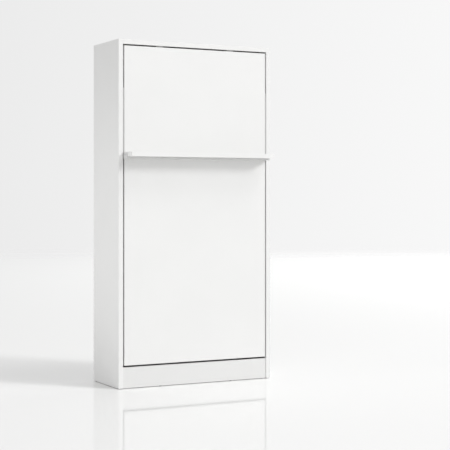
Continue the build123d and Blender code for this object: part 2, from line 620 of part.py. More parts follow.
# ================================================================ mattress and what holds it
MATTRESS_CORNER = 50.0
MATTRESS_EDGE = 12.0
with BuildPart() as mattress:
    block((-MATTRESS[0] / 2, MATTRESS[0] / 2), (MATTRESS_FRONT, MATTRESS_BACK),
          (MATTRESS_LOW, MATTRESS_LOW + MATTRESS[2]))
    fillet(mattress.edges().filter_by(Axis.Y), MATTRESS_CORNER)
    fillet(mattress.faces().filter_by(Axis.Y).edges(), MATTRESS_EDGE)
save(mattress, "mattress")

BOW_R = 8.0
BOW_Z = MATTRESS_LOW - 5 - BOW_R
BOW_BACK = 10.0  # how far back the bow reaches round the mattress
BOW_BEND = 50.0
with BuildPart() as mattress_stop:
    with BuildLine():
        bow_x = TUBE_IN + TUBE[0] / 2
        path = FilletPolyline((-bow_x, TUBE_BACK, BOW_Z), (-bow_x, BOW_BACK, BOW_Z),
                              (bow_x, BOW_BACK, BOW_Z), (bow_x, TUBE_BACK, BOW_Z), radius=BOW_BEND)
    with BuildSketch(Plane(origin=path @ 0, z_dir=path % 0)):
        Circle(BOW_R)
    sweep()
save(mattress_stop, "mattress_stop")

STRAP_OFF = 0.5  # clear of the mattress
STRAP_BEND = 14.0
STRAP_TOP = MATTRESS_BACK + STRAP_OFF + STRAP_THICK / 2
strap_side = MATTRESS[0] / 2 + STRAP_OFF + STRAP_THICK / 2
strap_rail = FRAME_X + STRAP_THICK / 2
strap_half = [(strap_rail, TUBE_MIDDLE - 12), (strap_rail, TUBE_BACK + 11),
              (strap_side, MATTRESS_FRONT + 8), (strap_side, STRAP_TOP)]
strap_path = [(-x, y) for x, y in strap_half] + [(x, y) for x, y in reversed(strap_half)]
for word, z in STRAPS:
    with BuildPart() as strap:
        with BuildSketch(Plane.XY.offset(z - STRAP_WIDTH / 2)):
            with BuildLine() as route:
                FilletPolyline(*strap_path, radius=STRAP_BEND)
            trace(route.line, STRAP_THICK)
        extrude(amount=STRAP_WIDTH)
    save(strap, f"strap_{word}")

BUCKLE = (64.0, 54.0, 7.0)  # along the strap, across it, thickness
BUCKLE_SLOT = (9.0, 42.0)
BUCKLE_SLOT_X = 17.0
BUCKLE_FRONT = STRAP_TOP + STRAP_THICK / 2 + 0.2
with BuildPart() as strap_buckles:
    for _, z in STRAPS:
        with BuildSketch(Plane.XZ.offset(-BUCKLE_FRONT)):
            with Locations((0, z)):
                RectangleRounded(BUCKLE[0], BUCKLE[1], 5)
            with Locations((-BUCKLE_SLOT_X, z), (BUCKLE_SLOT_X, z)):
                RectangleRounded(BUCKLE_SLOT[0], BUCKLE_SLOT[1], 2, mode=Mode.SUBTRACT)
        extrude(amount=-BUCKLE[2])
    fillet(strap_buckles.faces().sort_by(Axis.Y)[-1].edges(), 1.2)
save(strap_buckles, "strap_buckles")

CLAMP = (22.0, 58.0, 3.0)  # through the bed's thickness, along the rail, thickness
CLAMP_X = (FRAME_X + STRAP_THICK, FRAME_X + STRAP_THICK + CLAMP[2])
CLAMP_Y = TUBE_MIDDLE - 2.0
RIVET = (3.4, 24.0, 2.0)  # radius, distance from the clamp's middle, height over it
with BuildPart() as strap_anchors:
    for _, z in STRAPS:
        for side, _ in SIDES:
            with BuildSketch(side_plane(side, *CLAMP_X)):
                with Locations((CLAMP_Y, z)):
                    RectangleRounded(CLAMP[0], CLAMP[1], 3)
            extrude(amount=CLAMP[2])
            for offset in (-RIVET[1], RIVET[1]):
                pin(side, FRAME_X, CLAMP_X[1] + RIVET[2], (CLAMP_Y, z + offset), RIVET[0])
save(strap_anchors, "strap_anchors")

# ================================================================ shelf that becomes the leg
TAB_SCREWS = [(FRONT_Y - d, SHELF_LOW + SHELF_THICK / 2) for d in (12, 27, 42)]
SHELF_CORNER = 4.0

with BuildPart() as shelf_board:
    block((-ARM_IN, ARM_IN), (FRONT_Y - SHELF_REACH, FOOT_Y[1]), (SHELF_LOW, SHELF_TOP))
    fillet(shelf_board.edges().filter_by(Axis.Z).group_by(Axis.Y)[0], SHELF_CORNER)
    fillet(shelf_board.faces().filter_by(Axis.Z).edges(), EDGE)
    pilot_holes([across(side, ARM_IN, y, z) for side, _ in SIDES for y, z in TAB_SCREWS],
                SHELF_SCREW, ARM_THICK)
save(shelf_board, "shelf_board")

with BuildPart() as foot_bar:
    block((-ARM_IN, ARM_IN), FOOT_Y, (FOOT_LOW, SHELF_LOW))
    fillet(foot_bar.edges().filter_by(Axis.X), TUBE_CORNER)
    block((-ARM_IN, ARM_IN), (FOOT_Y[0] + FOOT_BAR[2], FOOT_Y[1] - FOOT_BAR[2]),
          (FOOT_LOW + FOOT_BAR[2], SHELF_LOW - FOOT_BAR[2]), mode=Mode.SUBTRACT)
save(foot_bar, "foot_bar")

for side, word in SIDES:
    with BuildPart() as leg_arm:
        # head: the flat bar's rounded top, hulled with the levelling rod's crank
        with BuildSketch(side_plane(side, ARM_IN, ARM_OUT)):
            with Locations((ARM_FRONT + ARM_HEAD_R, ARM_TOP - ARM_HEAD_R)):
                Circle(ARM_HEAD_R)
            with Locations(ROD_HEAD):
                Circle(ROD_EYE_R)
            with Locations((ARM_FRONT + ARM_WIDTH / 2, HEAD_LOW)):
                Rectangle(ARM_WIDTH, 20)
            make_hull()
        # bar, and the foot tab that runs forward along the ends of the shelf and the foot bar
        with BuildSketch(side_plane(side, ARM_IN, ARM_OUT)) as bar:
            with Locations((ARM_FRONT + ARM_WIDTH / 2, (FOOT_LOW + HEAD_LOW) / 2)):
                Rectangle(ARM_WIDTH, HEAD_LOW - FOOT_LOW)
            tab = (FOOT_Y[0], ARM_FRONT + ARM_WIDTH)
            with Locations((sum(tab) / 2, (FOOT_LOW + SHELF_TOP) / 2)):
                Rectangle(tab[1] - tab[0], SHELF_TOP - FOOT_LOW)
            fillet(bar.vertices().group_by(Axis.Y)[0], ARM_CORNER)
        extrude(amount=ARM_THICK)
        pin(side, ARM_IN, ARM_OUT, ARM_PIVOT, PIN_R + RUNNING, mode=Mode.SUBTRACT)
        pin(side, ARM_IN, ARM_OUT, ROD_HEAD, LINK_PIN_R, mode=Mode.SUBTRACT)
        pin(side, ARM_OUT - LEG_HEAD[1] - 0.2, ARM_OUT, ARM_PIVOT, LEG_HEAD[0] + 0.3,
            mode=Mode.SUBTRACT)
        screw_holes([across(side, ARM_OUT, y, z) for y, z in TAB_SCREWS], ARM_THICK)
    save(leg_arm, f"leg_arm_{word}")
tab_planes = [across(side, ARM_OUT, y, z) for side, _ in SIDES for y, z in TAB_SCREWS]
screw_group("shelf_screws", tab_planes, SHELF_SCREW)

with BuildPart() as rod_head_pins:
    for side, _ in SIDES:
        pin(side, LINK_HEAD_X[1], ARM_OUT, ROD_HEAD, LINK_PIN_R)
        pin(side, *LINK_HEAD_X, ROD_HEAD, LINK_PIN_R + 2.5)
save(rod_head_pins, "rod_head_pins")

PADS = (4, 305.0, 16.0)  # how many, their pitch and radius
with BuildPart() as foot_pads:
    with BuildSketch(Plane.XY.offset(FOOT_LOW - PAD)):
        with Locations((0, sum(FOOT_Y) / 2)):
            with GridLocations(PADS[1], 0, PADS[0], 1):
                Circle(PADS[2])
    extrude(amount=PAD)
save(foot_pads, "foot_pads")

# ================================================================ levelling rods
OPEN_PIVOT_CLEARANCE = 0.5
rod_vector = Vector(ROD_HEAD[0] - ROD_FOOT[0], ROD_HEAD[1] - ROD_FOOT[1])
rod_turn = degrees(atan2(rod_vector.Y, rod_vector.X))
rod_middle = ((ROD_HEAD[0] + ROD_FOOT[0]) / 2, (ROD_HEAD[1] + ROD_FOOT[1]) / 2)
for side, word in SIDES:
    with BuildPart() as levelling_rod:
        with BuildSketch(side_plane(side, *ROD_X)):
            with Locations(Location((*rod_middle, 0), (0, 0, rod_turn))):
                Rectangle(rod_vector.length, ROD_WIDTH)
            with Locations(ROD_FOOT, ROD_HEAD):
                Circle(ROD_EYE_R)
            with Locations(ROD_FOOT):
                Circle(LINK_PIN_R + RUNNING, mode=Mode.SUBTRACT)
            with Locations(ROD_HEAD):
                Circle(LINK_PIN_R + OPEN_PIVOT_CLEARANCE, mode=Mode.SUBTRACT)
        extrude(amount=ROD_X[1] - ROD_X[0])
    save(levelling_rod, f"levelling_rod_{word}")

# ================================================================ gas struts
TUBE_END = STRUT_HEAD + STRUT_TUBE[2]
PISTON = (TUBE_END - STRUT_GLAND - 20, 12)  # its top face from the upper eye, and its thickness
PISTON_FREE = 0.3
strut_down = (0, -sin(STRUT_LEAN), -cos(STRUT_LEAN))
eye_x = (STRUT_X - STRUT_EYE[1] / 2, STRUT_X + STRUT_EYE[1] / 2)
socket_x = (STUD_STEPS[2] + 0.4, STRUT_X + 4.6)
for side, word in SIDES:
    # each strut is drawn along its own axis, from the upper eye down
    axis_top = Plane(origin=(side * STRUT_X, *STRUT_TOP), x_dir=(1, 0, 0), z_dir=strut_down)
    with BuildPart() as strut_tube:
        with BuildSketch(axis_top.offset(STRUT_HEAD)):
            Circle(STRUT_TUBE[0])
        extrude(amount=STRUT_TUBE[2])
        with BuildSketch(axis_top.offset(STRUT_HEAD + STRUT_WALL)):
            Circle(STRUT_TUBE[1])
        extrude(amount=STRUT_TUBE[2] - STRUT_WALL - STRUT_GLAND, mode=Mode.SUBTRACT)
        with BuildSketch(axis_top.offset(TUBE_END - STRUT_GLAND)):
            Circle(STRUT_ROD_R + RUNNING)
        extrude(amount=STRUT_GLAND, mode=Mode.SUBTRACT)
        with BuildSketch(axis_top.offset(STRUT_NECK[1])):
            Circle(STRUT_NECK[0])
        extrude(amount=STRUT_HEAD - STRUT_NECK[1])
        pin(side, *eye_x, STRUT_TOP, STRUT_EYE[0])
        pin(side, *eye_x, STRUT_TOP, LINK_PIN_R + RUNNING, mode=Mode.SUBTRACT)
    save(strut_tube, f"strut_tube_{word}")

    with BuildPart() as strut_piston:
        with BuildSketch(axis_top.offset(PISTON[0])):
            Circle(STRUT_TUBE[1] - PISTON_FREE)
        extrude(amount=PISTON[1])
        with BuildSketch(axis_top.offset(PISTON[0])):
            Circle(STRUT_ROD_R)
        extrude(amount=STRUT_LENGTH - PISTON[0] - STRUT_NECK[1])
        with BuildSketch(axis_top.offset(STRUT_LENGTH - STRUT_NECK[2])):
            Circle(STRUT_NECK[0])
        extrude(amount=STRUT_NECK[2] - STRUT_NECK[1])
        pin(side, *socket_x, STRUT_FOOT, STRUT_SOCKET_R)
    save(strut_piston, f"strut_piston_{word}")
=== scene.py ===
import json
import math

import bmesh
import bpy
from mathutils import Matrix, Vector


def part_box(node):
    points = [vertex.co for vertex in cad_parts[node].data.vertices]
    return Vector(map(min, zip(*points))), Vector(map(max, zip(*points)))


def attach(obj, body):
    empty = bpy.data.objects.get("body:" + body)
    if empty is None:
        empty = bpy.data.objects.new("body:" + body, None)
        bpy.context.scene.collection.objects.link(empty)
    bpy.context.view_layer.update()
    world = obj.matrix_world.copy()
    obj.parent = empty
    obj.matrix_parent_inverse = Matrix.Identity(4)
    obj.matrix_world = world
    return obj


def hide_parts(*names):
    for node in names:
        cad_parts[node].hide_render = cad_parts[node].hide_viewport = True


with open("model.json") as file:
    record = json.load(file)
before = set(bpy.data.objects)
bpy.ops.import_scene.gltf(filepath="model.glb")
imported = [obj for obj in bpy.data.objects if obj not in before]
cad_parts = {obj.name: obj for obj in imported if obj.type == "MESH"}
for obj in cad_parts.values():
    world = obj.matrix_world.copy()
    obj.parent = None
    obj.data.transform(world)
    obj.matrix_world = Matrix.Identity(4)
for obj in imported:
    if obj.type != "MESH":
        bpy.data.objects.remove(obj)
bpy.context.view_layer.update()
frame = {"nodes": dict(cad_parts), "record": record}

# ================================================================ camera
# The view: from the left of the front, a little above the cabinet's middle, from about eight metres.
VIEW_LENS = 101.2
VIEW_SHIFT = -0.062
VIEW_FROM = Vector((-3.567, -7.432, 1.195))
VIEW_ALONG = Vector((0.4599, 0.8880, 0.0))


def make_camera():
    data = bpy.data.cameras.new("view")
    data.lens = VIEW_LENS
    data.sensor_width = 36
    data.shift_y = VIEW_SHIFT
    camera = bpy.data.objects.new("view", data)
    camera.location = VIEW_FROM
    camera.rotation_mode = "QUATERNION"
    camera.rotation_quaternion = VIEW_ALONG.to_track_quat("-Z", "Y")
    bpy.context.scene.collection.objects.link(camera)
    bpy.context.scene.camera = camera


make_camera()
bpy.context.scene.view_settings.view_transform = "Standard"


# ================================================================ material building blocks
WAVE_PITCH = 0.314  # a wave texture of scale 1 repeats after this many metres


class Shader:
    """A node material in the making. Places in it are the row frame's, in metres."""

    def __init__(self, name, color, rough, metallic=0.0):
        self.material = bpy.data.materials.new(name)
        self.material.use_nodes = True
        self.tree = self.material.node_tree
        self.surface = self.tree.nodes["Principled BSDF"]
        self.surface.inputs["Base Color"].default_value = (*color, 1)
        self.surface.inputs["Roughness"].default_value = rough
        self.surface.inputs["Metallic"].default_value = metallic
        self.color, self.rough = color, rough
        self.place = self.tree.nodes.new("ShaderNodeTexCoord").outputs["Object"]
        self.last_bump = None

    def set(self, **values):
        for name, value in values.items():
            self.surface.inputs[name.replace("_", " ")].default_value = value
        return self

    def put(self, socket, value):
        """Gives a socket a value, or links it to another node's output."""
        if isinstance(value, bpy.types.NodeSocket):
            self.tree.links.new(value, socket)
        else:
            socket.default_value = value

    def node(self, kind, **inputs):
        made = self.tree.nodes.new(kind)
        for name, value in inputs.items():
            self.put(made.inputs[name.replace("_", " ")], value)
        return made

    def math(self, operation, a, b=0.0):
        made = self.tree.nodes.new("ShaderNodeMath")
        made.operation = operation
        for socket, value in zip(made.inputs, (a, b)):
            self.put(socket, value)
        return made.outputs[0]

    def stretched(self, scale):
        """The place, with each axis scaled, for patterns that run one way."""
        mapping = self.node("ShaderNodeMapping", Vector=self.place)
        mapping.inputs["Scale"].default_value = scale
        return mapping.outputs[0]

    def noise(self, size, detail=3.0, rough=0.5, stretch=(1, 1, 1)):
        """Soft noise from 0 to 1 whose lumps are about size metres across."""
        return self.node("ShaderNodeTexNoise", Vector=self.stretched(stretch), Scale=1 / size,
                         Detail=detail, Roughness=rough).outputs["Fac"]

    def cells(self, size):
        """Distance to the nearest of scattered points about size metres apart."""
        return self.node("ShaderNodeTexVoronoi", Vector=self.place, Scale=1 / size).outputs["Distance"]

    def stripes(self, pitch, axis, profile="SIN"):
        """Straight ribs across one axis, from 0 to 1."""
        wave = self.node("ShaderNodeTexWave", Vector=self.place, Scale=WAVE_PITCH / pitch)
        wave.bands_direction = axis
        wave.wave_profile = profile
        return wave.outputs["Fac"]

    def between(self, value, low, high, start=0.3, end=0.7):
        """A value mapped smoothly from low to high."""
        made = self.node("ShaderNodeMapRange", Value=value)
        made.interpolation_type = "SMOOTHSTEP"
        for name, number in zip(("From Min", "From Max", "To Min", "To Max"), (start, end, low, high)):
            made.inputs[name].default_value = number
        return made.outputs["Result"]

    def tint(self, value, darker, lighter, start=0.3, end=0.7):
        """Colours the surface from darker to lighter times its base colour."""
        ramp = self.tree.nodes.new("ShaderNodeValToRGB")
        self.tree.links.new(self.between(value, 0, 1, start, end), ramp.inputs["Fac"])
        for stop, share in zip(ramp.color_ramp.elements, (darker, lighter)):
            tone = share if isinstance(share, tuple) else (share,) * 3
            stop.color = (*(min(1, c * t) for c, t in zip(self.color, tone)), 1)
        self.tree.links.new(ramp.outputs["Color"], self.surface.inputs["Base Color"])
        return self

    def vary_rough(self, value, spread):
        made = self.between(value, self.rough - spread, self.rough + spread)
        self.tree.links.new(made, self.surface.inputs["Roughness"])
        return self

    def bump(self, height, depth, strength=1.0):
        """Raises the surface by up to depth metres. Several add up."""
        made = self.node("ShaderNodeBump", Height=height, Distance=depth, Strength=strength)
        if self.last_bump is not None:
            self.tree.links.new(self.last_bump, made.inputs["Normal"])
        self.last_bump = made.outputs["Normal"]
        self.tree.links.new(self.last_bump, self.surface.inputs["Normal"])
        return self


# ================================================================ materials
def white_board(name, color):
    """Painted board: satin, with the slight orange peel of sprayed lacquer."""
    s = Shader(name, color, 0.34)
    s.set(Specular_IOR_Level=0.45)
    s.tint(s.noise(0.35, 4), 0.985, 1.0)
    s.vary_rough(s.noise(0.06, 4), 0.04)
    s.bump(s.noise(0.0022, 1.5), 0.00002)
    s.bump(s.noise(0.09, 2), 0.00025)
    return s.material


def white_back():
    """Hardboard painted on its smooth side: a little mottled, with fibres under the paint."""
    s = Shader("white_back", (0.80, 0.80, 0.79), 0.62)
    s.tint(s.noise(0.012, 5, 0.65), 0.95, 1.0)
    s.vary_rough(s.noise(0.004, 3), 0.08)
    s.bump(s.noise(0.003, 4, 0.7), 0.00007)
    s.bump(s.noise(0.25, 2), 0.0006)
    return s.material


def powder_coat(name, color):
    """Baked powder paint on steel: fine pebbles and a low sheen."""
    s = Shader(name, color, 0.42)
    s.tint(s.noise(0.05, 4), 0.96, 1.0)
    s.vary_rough(s.noise(0.008, 3), 0.06)
    s.bump(s.cells(0.0011), 0.00004)
    s.bump(s.noise(0.02, 2), 0.00005)
    return s.material


def zinc():
    """Bright zinc plating: cloudy, with faint rolling marks along the height."""
    s = Shader("zinc", (0.66, 0.66, 0.68), 0.33, metallic=1.0)
    s.tint(s.noise(0.015, 5, 0.6), (0.80, 0.81, 0.84), (1.0, 1.0, 0.98))
    s.vary_rough(s.noise(0.004, 4, 0.6, stretch=(1, 1, 0.05)), 0.12)
    s.bump(s.noise(0.0008, 2, stretch=(1, 1, 0.03)), 0.00001)
    return s.material


def rod_chrome():
    """Ground and chromed rod: turning marks around it."""
    s = Shader("rod_chrome", (0.80, 0.80, 0.81), 0.10, metallic=1.0)
    s.tint(s.noise(0.03, 3), 0.93, 1.0)
    s.vary_rough(s.noise(0.002, 3, stretch=(0.1, 0.1, 1)), 0.04)
    s.bump(s.noise(0.0006, 1, stretch=(0.05, 0.05, 1)), 0.000002)
    return s.material


def strut_black():
    """Black stoved enamel on the gas struts."""
    s = Shader("strut_black", (0.022, 0.022, 0.024), 0.28)
    s.tint(s.noise(0.02, 4), 0.8, 1.25)
    s.vary_rough(s.noise(0.006, 4), 0.07)
    s.bump(s.noise(0.0015, 2), 0.00001)
    return s.material


def moulded(name, color, rough):
    """Moulded plastic with a spark-eroded grain."""
    s = Shader(name, color, rough)
    s.tint(s.noise(0.03, 3), 0.93, 1.05)
    s.vary_rough(s.noise(0.01, 3), 0.06)
    s.bump(s.noise(0.0007, 2), 0.00003)
    return s.material


def rubber():
    s = Shader("rubber_pad", (0.035, 0.035, 0.035), 0.82)
    s.tint(s.noise(0.008, 4), 0.75, 1.4)
    s.bump(s.noise(0.0012, 3), 0.00005)
    return s.material


def felt():
    """Pressed wool felt: matted fibres and a soft edge of light."""
    s = Shader("felt", (0.74, 0.74, 0.72), 0.95)
    s.set(Sheen_Weight=0.5, Sheen_Roughness=0.5)
    s.tint(s.noise(0.0012, 6, 0.75), 0.7, 1.25)
    s.bump(s.noise(0.0008, 6, 0.8), 0.0004)
    return s.material


def beech():
    """Glued beech slats: straight grain along the slat, short dark flecks."""
    s = Shader("beech", (0.60, 0.39, 0.215), 0.42)
    grain = s.noise(0.007, 6, 0.62, stretch=(0.035, 1, 1))
    flecks = s.noise(0.0014, 2, stretch=(0.09, 1, 1))
    s.tint(s.math("SUBTRACT", grain, s.between(flecks, 0, 0.16, 0.62, 0.72)),
           (0.72, 0.66, 0.58), (1.08, 1.1, 1.14), 0.34, 0.66)
    s.vary_rough(grain, 0.08)
    s.bump(grain, 0.00012)
    return s.material


def ticking():
    """Mattress cover: a close knitted cloth with a jacquard of small ovals."""
    s = Shader("ticking", (0.83, 0.825, 0.805), 0.9)
    s.set(Sheen_Weight=0.35, Sheen_Roughness=0.45)
    loops = s.math("MULTIPLY", s.stripes(0.0016, "X"), s.stripes(0.0021, "Z"))
    ovals = s.cells(0.016)
    s.tint(s.math("ADD", s.math("MULTIPLY", ovals, 0.8), s.math("MULTIPLY", loops, 0.25)),
           0.93, 1.02, 0.2, 0.8)
    s.bump(loops, 0.0003)
    s.bump(s.between(ovals, 0, 1, 0.25, 0.45), 0.0004)
    s.bump(s.noise(0.03, 4), 0.0004)
    return s.material


def border_cloth():
    """The mattress's side band: a ribbed three-dimensional mesh cloth, a little greyer."""
    s = Shader("border_cloth", (0.62, 0.63, 0.64), 0.9)
    s.set(Sheen_Weight=0.3, Sheen_Roughness=0.5)
    holes = s.cells(0.0042)
    s.tint(holes, (0.62, 0.62, 0.63), 1.05, 0.12, 0.42)
    s.bump(s.between(holes, 0, 1, 0.1, 0.5), 0.0007)
    s.bump(s.noise(0.05, 3), 0.001)
    return s.material


def tape(name, color, across="Z"):
    """Woven tape: warp ribs along it, so that they alternate across it, and a fine weft."""
    s = Shader(name, color, 0.8)
    s.set(Sheen_Weight=0.3, Sheen_Roughness=0.4)
    ribs = s.stripes(0.0022, across)
    weft = s.stripes(0.0011, "DIAGONAL")
    weave = s.math("MULTIPLY", ribs, s.math("ADD", s.math("MULTIPLY", weft, 0.6), 0.4))
    s.tint(weave, 0.62, 1.25, 0.1, 0.8)
    s.bump(weave, 0.0005)
    s.bump(s.noise(0.02, 3), 0.0004)
    return s.material


MATERIALS = {
    "white_board": white_board("white_board", (0.86, 0.86, 0.853)),
    "white_back": white_back(),
    "frame_paint": powder_coat("frame_paint", (0.60, 0.60, 0.61)),
    "arm_paint": powder_coat("arm_paint", (0.70, 0.70, 0.695)),
    "zinc": zinc(),
    "rod_chrome": rod_chrome(),
    "strut_black": strut_black(),
    "black_plastic": moulded("black_plastic", (0.028, 0.028, 0.03), 0.5),
    "white_plastic": moulded("white_plastic", (0.78, 0.78, 0.77), 0.42),
    "rubber_pad": rubber(),
    "felt": felt(),
    "ticking": ticking(),
    "webbing": tape("webbing", (0.05, 0.052, 0.06)),
    "beech": beech(),
}
# The plinth's board is the white board made darker: painted shade at the cabinet's foot.
PLINTH_SHADED_BOARD = white_board("plinth_board_painted_shade", (0.79, 0.79, 0.783))
BORDER = border_cloth()
PIPING = tape("piping", (0.55, 0.56, 0.58))
HANDLE_TAPE = tape("handle_tape", (0.40, 0.41, 0.44), "Y")
THREAD = tape("thread", (0.62, 0.62, 0.62))


def dress_cad_nodes():
    """Gives every CAD node the material of its slot in the record; the plinth gets a darker copy of the
    board as painted shade.
    """
    for part in frame["record"]["subparts"]:
        node = frame["nodes"][part["node"]]
        node.data.materials.clear()
        own = PLINTH_SHADED_BOARD if part["node"] == "front_plinth" else MATERIALS[part["material_slot"]]
        node.data.materials.append(own)


dress_cad_nodes()


# ================================================================ mesh helpers
def new_object(name, mesh, materials, body):
    made = bpy.data.objects.new(name, mesh)
    bpy.context.scene.collection.objects.link(made)
    for m in materials:
        mesh.materials.append(m)
    if body:
        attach(made, body)
    return made


def smooth(mesh):
    mesh.polygons.foreach_set("use_smooth", [True] * len(mesh.polygons))


def mesh_from(name, points, faces, material_index=None):
    mesh = bpy.data.meshes.new(name)
    mesh.from_pydata([tuple(p) for p in points], [], faces)
    if material_index:
        mesh.polygons.foreach_set("material_index", material_index)
    mesh.update()
    return mesh


def apply_modifiers(obj):
    """Replaces an object's mesh by what its modifiers make of it."""
    evaluated = obj.evaluated_get(bpy.context.evaluated_depsgraph_get())
    made = bpy.data.meshes.new_from_object(evaluated)
    obj.modifiers.clear()
    obj.data = made


TUBE_SIDES = 6


def ring_faces(rings, sides, closed=False):
    """Faces between rings of points that follow one another, and from the last to the first if closed."""
    faces = []
    for i in range(rings if closed else rings - 1):
        for k in range(sides):
            a, b, after = i * sides, ((i + 1) % rings) * sides, (k + 1) % sides
            faces.append((a + k, a + after, b + after, b + k))
    return faces


def tube_points(path, radius, sides, closed):
    """Rings of points round a path, and the faces between them."""
    count = len(path)
    points = []
    for i, p in enumerate(path):
        before = path[i - 1] if closed or i else path[i]
        after = path[(i + 1) % count] if closed or i < count - 1 else path[i]
        along = (after - before).normalized()
        side = along.cross(Vector((0, 1, 0)))
        side = side.normalized() if side.length > 1e-6 else Vector((1, 0, 0))
        up = side.cross(along)
        for k in range(sides):
            turn = 2 * math.pi * k / sides
            points.append(p + side * (radius * math.cos(turn)) + up * (radius * math.sin(turn)))
    return points, ring_faces(count, sides, closed)


def capped_tube(name, path, radius, sides=TUBE_SIDES):
    """A thin closed tube along a path."""
    points, faces = tube_points(path, radius, sides, closed=False)
    last = len(points) - 1
    faces += [tuple(range(sides)), tuple(range(last, last - sides, -1))]
    return mesh_from(name, points, faces)


def rounded_path(corners, radius, bend_steps=7):
    """A flat route through (x, y) corners, with each inner corner turned into an arc."""
    corners = [Vector(c) for c in corners]
    route = [corners[0]]
    for before, corner, after in zip(corners, corners[1:], corners[2:]):
        back, on = (before - corner).normalized(), (after - corner).normalized()
        half = back.angle(on) / 2
        away = (back + on).normalized()
        centre = corner + away * (radius / math.sin(half))
        start, end = corner + back * (radius / math.tan(half)), corner + on * (radius / math.tan(half))
        for k in range(bend_steps + 1):
            spoke = (start - centre).lerp(end - centre, k / bend_steps).normalized()
            route.append(centre + spoke * radius)
    route.append(corners[-1])
    return route


def even_path(route, step):
    """The same route with its long straight runs cut into pieces of about one step."""
    points = [route[0]]
    for a, b in zip(route, route[1:]):
        pieces = max(1, round((b - a).length / step))
        points += [a.lerp(b, k / pieces) for k in range(1, pieces + 1)]
    return points


SELVEDGE = 0.45  # how far a tape's edge is bevelled, as a share of its thickness


def ribbon_mesh(name, route, z, width, thick):
    """A flat tape on edge: its route runs in x and y, its width along z, with bevelled selvedges."""
    bevel = thick * SELVEDGE
    section = [(-width / 2, 0), (bevel - width / 2, thick / 2), (width / 2 - bevel, thick / 2),
               (width / 2, 0), (width / 2 - bevel, -thick / 2), (bevel - width / 2, -thick / 2)]
    points, sides = [], len(section)
    for i, p in enumerate(route):
        along = (route[min(i + 1, len(route) - 1)] - route[max(i - 1, 0)]).normalized()
        out = Vector((-along.y, along.x))
        points += [(p.x + out.x * t, p.y + out.y * t, z + w) for w, t in section]
    last = (len(route) - 1) * sides
    caps = [tuple(reversed(range(sides))), tuple(range(last, last + sides))]
    return mesh_from(name, points, ring_faces(len(route), sides) + caps)


def outward(mesh):
    """Turns every face of a closed mesh to face out."""
    shape = bmesh.new()
    shape.from_mesh(mesh)
    bmesh.ops.recalc_face_normals(shape, faces=shape.faces)
    shape.to_mesh(mesh)
    shape.free()


def joined(name, meshes, materials, body):
    """Several closed meshes as one piece."""
    shape = bmesh.new()
    for mesh in meshes:
        shape.from_mesh(mesh)
        bpy.data.meshes.remove(mesh)
    bmesh.ops.remove_doubles(shape, verts=shape.verts, dist=1e-6)
    bmesh.ops.recalc_face_normals(shape, faces=shape.faces)
    whole = bpy.data.meshes.new(name)
    shape.to_mesh(whole)
    shape.free()
    return new_object(name, whole, materials, body)


def turned(name, profile, centre, axis, sides=32):
    """A closed ring or disc: a profile of (radius, height) points turned about an axis."""
    spin = Vector((0, 0, 1)).rotation_difference(Vector(axis))
    points = []
    for k in range(sides):
        turn = 2 * math.pi * k / sides
        for radius, height in profile:
            points.append(centre + spin @ Vector((radius * math.cos(turn),
                                                  radius * math.sin(turn), height)))
    return mesh_from(name, points, ring_faces(sides, len(profile), closed=True))


STITCH = 0.005  # from one stitch to the next
STITCH_GAP = 0.15  # share of that which stays bare before and after a stitch
THREAD_R = 0.0006


def stitch_meshes(start, end, lift):
    """A row of thread stitches from start to end, each standing a little along lift."""
    count = max(1, round((end - start).length / STITCH))
    rise = lift * THREAD_R
    made = []
    for k in range(count):
        a = start.lerp(end, (k + STITCH_GAP) / count)
        b = start.lerp(end, (k + 1 - STITCH_GAP) / count)
        made.append(capped_tube("stitch", [a - rise, a + rise, b + rise, b - rise], THREAD_R))
    return made


# ================================================================ mattress
BED_LOW, BED_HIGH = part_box("mattress")
BED_CENTRE = (BED_LOW + BED_HIGH) / 2
BED_HALF = (BED_HIGH - BED_LOW) / 2
CELL = 0.0125  # size of the cover's mesh cells
SEAM_CELLS = 8  # quilting seams run diagonally, this many cells apart
BAND_ROWS = 10  # rows of mesh cells on the side band
CORNER = 0.05
SEAM_DEPTH = 0.011  # from the CAD solid's faces down to the seams and the piping
PUFF = SEAM_DEPTH - 0.001  # how far the cloth may rise above its seams
SIDE_SWELL = 0.003  # how far the side band may swell
PIPING_R = 0.0045
PIPING_SIDES = 10


def rounded(x, z, half_x, half_z, radius):
    """A point of a rectangle, pulled in so that the rectangle's corners are round."""
    inner_x, inner_z = half_x - radius, half_z - radius
    over_x, over_z = abs(x) - inner_x, abs(z) - inner_z
    if over_x <= 0 or over_z <= 0:
        return x, z
    scale = max(over_x, over_z) / math.hypot(over_x, over_z)
    return math.copysign(inner_x + over_x * scale, x), math.copysign(inner_z + over_z * scale, z)


